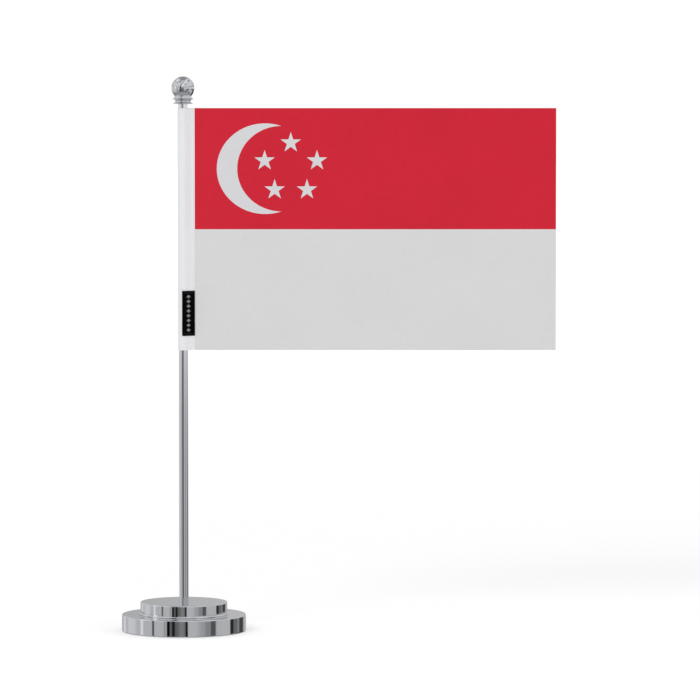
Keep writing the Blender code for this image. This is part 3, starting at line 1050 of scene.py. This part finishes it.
def thread_tube(name, centre_at, outward_at, length, material, node, pitch=STITCH_PITCH):
    """A two-ply sewing thread that rises out of one needle hole, lies along the cloth and dives into
    the next."""
    count = max(1, round(length / pitch))
    samples, sides, step = 10, 10, length / count / 40
    dive_share, rise, sink, pinch = 0.16, 0.95, 1.9, 0.25
    lay, ply_depth = 0.9 * MM, 0.14
    rings = []
    for i in range(count * samples + 1):
        distance = length * i / (count * samples)
        phase = (i % samples) / samples
        dive = max(0.0, 1 - min(phase, 1 - phase) / dive_share)
        normal = outward_at(distance)
        ahead = (centre_at(distance + step) - centre_at(distance - step)).normalized()
        side = normal.cross(ahead)
        centre = centre_at(distance) + normal * (THREAD_R * (rise - sink * dive * dive))
        ring = []
        for k in range(sides):
            angle = math.tau * k / sides
            ply = 1 + ply_depth * math.cos(2 * (angle - math.tau * distance / lay))
            reach = THREAD_R * ply * (1 - pinch * dive)
            ring.append(centre + side * (reach * math.cos(angle)) + normal * (reach * math.sin(angle)))
        rings.append(ring)
    mesh = ring_mesh(name, rings, "flat")
    face_outwards(mesh)
    finish_piece(mesh, [material], "flag", node, 60)


def seam_thread(name, side, node):
    """The seam's thread on the front (side -1) or the back (side 1) of the sleeve."""
    low, high, print_x = flag_box()
    face_y = side * ((high.y - low.y) / 2 + CLOTH_GAP + FABRIC_T)
    start = low.z + SEAM_INSET

    def centre_at(distance):
        return Vector((print_x - SEAM_INSET, face_y, start + distance))

    def outward_at(distance):
        return Vector((0, side, 0))

    length = high.z - low.z - 2 * SEAM_INSET
    thread_tube(name, centre_at, outward_at, length, WHITE_THREAD, node)


def label_thread(name, height, node):
    """Stitches across the label at a height."""
    run = [Vector((p.x, p.y, height)) for p in even_run(label_run(LABEL_T), 60)]
    lengths = run_lengths(run)
    margin = 0.5 * MM

    def centre_at(distance):
        return point_along(run, lengths, min(max(distance + margin, 0.0), lengths[-1]))

    def outward_at(distance):
        step = 0.3 * MM
        ahead = centre_at(distance + step) - centre_at(distance - step)
        return Vector((0, 0, 1)).cross(ahead).normalized()

    length = lengths[-1] - 2 * margin
    thread_tube(name, centre_at, outward_at, length, BLACK_THREAD, node, 1.8 * MM)


# Light, floor and camera

CHROME_SHARE = 0.78
TENT_LOW, TENT_HIGH, TENT_RISE = 172, 196, (8.0, 22.0)
CEILING, CEILING_OVER, CEILING_ACROSS = 138, (82, 158), (-0.3, 0.3)
# What the chrome mirrors: each card is a grey, its azimuths and elevations in degrees, the softness of
# its edges in both, and how far its azimuth leans per degree of elevation. Later cards cover earlier.
CARDS = [
    (216, (-180, 180), (-3.6, 3), 1, 0.9, 0),
    (158, (-180, 180), (4, 10.5), 1, 1.5, 0),
    (142, (-180, 180), (-95, -30), 1, 3, 0),
    (216, (-180, 180), (-95, -80), 1, 4, 0),
    (192, (-128, -102), (-26, 60), 6, 8, 0),
    (118, (-172, -116), (-42, -20), 6, 4, 0),
    (200, (-150, -138), (-11, 4), 2, 3, 0),
    (212, (-88, -82), (-26, 40), 2, 6, 0),
    (238, (-88, -76), (-3, 12), 3, 3, 0),
    (84, (-61.6, -57), (-28, 4), 1, 4, 0),
    (146, (-36, -31.5), (-28, 6), 2, 4, 0.3),
    (110, (-50, 40), (-36, -24), 8, 4, 0),
    (155, (-30, 6), (-36, 14), 1.5, 4, 0),
    (92, (-30, 6), (-36, -3.2), 1.5, 1.4, 0),
    (8, (-32, -26.5), (-38, 10), 1, 4, 0),
    (40, (-27, -18), (2, 26), 2, 3, 0),
    (30, (-22.3, -16.5), (-28, 0), 1.2, 3, 0),
    (118, (-9, 1), (-24, 2), 3, 3, 0),
    (22, (3, 7.2), (-34, 2), 0.8, 2, 0),
    (148, (28, 61), (-28, -5), 8, 1.5, 0),
    (128, (40, 61), (-28, -5), 2, 1.5, 0),
    (78, (47.5, 57.7), (-12, -5), 1.5, 1.5, -0.5),
    (72, (62, 71), (-40, -9), 3, 2, 0.95),
    (90, (70, 88), (-45, -33), 4, 3, 0),
    (98, (96, 146), (-12, -5), 1, 1, 0),
    (38, (96.2, 105.5), (-13, -4), 1, 2, 0),
    (135, (119, 123), (-12, -4), 1.5, 2, 0),
    (62, (127, 141), (-12, -4), 2, 2, 0),
    (165, (146, 160), (-10, 4), 2, 3, 0),
    (48, (110, 176), (-44, -10), 5, 2, -0.5),
    (106, (-39.5, -30.5), (22, 58), 3, 5, 0.5),
    (125, (-79, -67), (52, 72), 5, 5, 1.26),
    (134, (-75, -35), (54, 74), 8, 4, 0),
    (236, (-30, -20), (15, 56), 3, 4, 0.93),
    (238, (62, 92), (58, 73), 8, 5, 0),
    (238, (-128, -106), (43, 57), 6, 4, 0),
    (146, (-93, -76), (37, 50), 4, 4, 0),
    (138, (-140, -126), (31, 43), 4, 4, 0),
    (116, (98, 128), (43, 56), 6, 5, 0),
    (158, (36, 64), (28, 42), 8, 6, -0.5),
]


def glossy_studio(n, azimuth, elevation, over, x):
    """The light tent. The azimuth is counted to the right from the line between pole and camera, and over
    is the angle up from the front and on over the top, all in degrees. x is the direction's own."""

    def level(value):
        return grey(value) / CHROME_SHARE

    def window(value, low, high, soft):
        rise = n.remap(value, low - soft, low + soft)
        fall = n.remap(value, high - soft, high + soft)
        return n.math("SUBTRACT", rise, fall)

    def cover(current, value, mask):
        return n.math("MULTIPLY_ADD", n.math("SUBTRACT", level(value), current), mask, current)

    tone = n.remap(elevation, *TENT_RISE, level(TENT_LOW), level(TENT_HIGH))
    for value, az, el, soft_az, soft_el, lean in CARDS:
        place = azimuth
        if lean:
            place = n.math("MULTIPLY_ADD", elevation, -lean, azimuth)
        across = window(place, *az, soft_az)
        tone = cover(tone, value, n.math("MULTIPLY", across, window(elevation, *el, soft_el)))
    ceiling = n.math("MULTIPLY", window(over, *CEILING_OVER, 5), window(x, *CEILING_ACROSS, 0.06))
    return cover(tone, CEILING, ceiling)


def studio_world():
    """White for the camera, even soft light on the cloth, and the light tent in the chrome."""
    world = bpy.data.worlds.new("studio")
    bpy.context.scene.world = world
    n = Nodes(world)
    x, y, z = n.split(n.add("TexCoord").outputs["Generated"])
    view_azimuth = math.degrees(math.atan2(VIEW_TARGET.x, VIEW_DISTANCE))
    front = n.math("MULTIPLY", y, -1.0)
    azimuth = n.math("SUBTRACT", n.turn(x, front), view_azimuth)
    elevation = n.math("MULTIPLY", n.math("ARCSINE", z), DEGREE)
    mirrored = glossy_studio(n, azimuth, elevation, n.turn(z, front), x)
    soft = n.remap(elevation, -60.0, 60.0, SOFT_LOW, SOFT_HIGH)
    path = n.add("LightPath").outputs
    strength = n.blend(path["Is Glossy Ray"], soft, mirrored)
    shown = n.blend(path["Is Camera Ray"], strength, BACKDROP)
    background = n.feed(n.add("Background"), Color=(1.0, 1.0, 1.0, 1.0), Strength=shown)
    n.feed(n.add("OutputWorld"), Surface=background.outputs[0])


def aim(thing, place, target):
    """Puts a lamp or a camera in place, looking at a target."""
    thing.location = place
    thing.rotation_mode = "QUATERNION"
    thing.rotation_quaternion = (target - place).to_track_quat("-Z", "Y")


def soft_light(name, place, diameter, power):
    light = bpy.data.lights.new(name, "AREA")
    light.shape = "DISK"
    light.size = diameter
    light.energy = power
    lamp = add_object(name, light)
    aim(lamp, place, LIGHT_AIM)
    lamp.visible_glossy = False
    lamp.visible_camera = False


def floor():
    """A pale floor, lit almost to white, that takes the stand's soft contact shadow. Its glow for the
    camera grows with the distance, so that it meets the white backdrop without a line."""
    near, far, near_glow, far_glow, base_glow = 0.3, 3.0, 0.27, 0.42, 0.06
    rim = turned_ring(0.0, 96, lambda share: FLOOR_RADIUS)
    mesh = mesh_from("floor", rim, [tuple(range(len(rim)))])
    sweep = add_object("floor", mesh)
    sweep.location.z = -REST_GAP
    material, n = new_material("pale_floor")
    distance = n.add("VectorMath", operation="LENGTH")
    n.link(n.coords(), distance.inputs[0])
    shown = n.remap(distance.outputs["Value"], near, far, near_glow, far_glow)
    lift = n.math("MULTIPLY_ADD", n.add("LightPath").outputs["Is Camera Ray"], shown, base_glow)
    n.principled(
        Base_Color=(0.86, 0.86, 0.865, 1.0), Roughness=0.9, Specular_IOR_Level=0.0,
        Emission_Color=(1.0, 1.0, 1.0, 1.0), Emission_Strength=lift,
    )
    mesh.materials.append(material)
    sweep.visible_glossy = False


def camera():
    data = bpy.data.cameras.new("camera")
    data.sensor_width = SENSOR
    data.lens = SENSOR * VIEW_DISTANCE / VIEW_WIDTH
    data.clip_end = 4 * VIEW_DISTANCE
    view = add_object("camera", data)
    back = Vector((0.0, -math.cos(VIEW_ELEVATION), math.sin(VIEW_ELEVATION)))
    aim(view, VIEW_TARGET + back * VIEW_DISTANCE, VIEW_TARGET)
    bpy.context.scene.camera = view


def build():
    lower_disc()
    upper_disc()
    base_pad()
    base_screw()
    flat_washer()
    spring_washer()
    pole_tube()
    threaded_plug("foot_plug", "pole_foot_plug")
    threaded_plug("top_plug", "pole_top_plug")
    finial_collar()
    finial_ball()
    finial_stud()
    flag_panel()
    pole_sleeve()
    side_label()
    seam_thread("seam_needle_thread", -1, "needle_thread")
    seam_thread("seam_bobbin_thread", 1, "bobbin_thread")
    low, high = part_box("side_label")
    label_thread("label_stitches_low", low.z + LABEL_THREAD_INSET, "label_bottom_thread")
    label_thread("label_stitches_high", high.z - LABEL_THREAD_INSET, "label_top_thread")
    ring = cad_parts["stop_ring"]
    ring.data.materials.clear()
    ring.data.materials.append(SILICONE)


build()
studio_world()
floor()
soft_light("key", *KEY_LIGHT)
soft_light("fill", *FILL_LIGHT)
camera()
bpy.context.scene.view_settings.view_transform = "Standard"
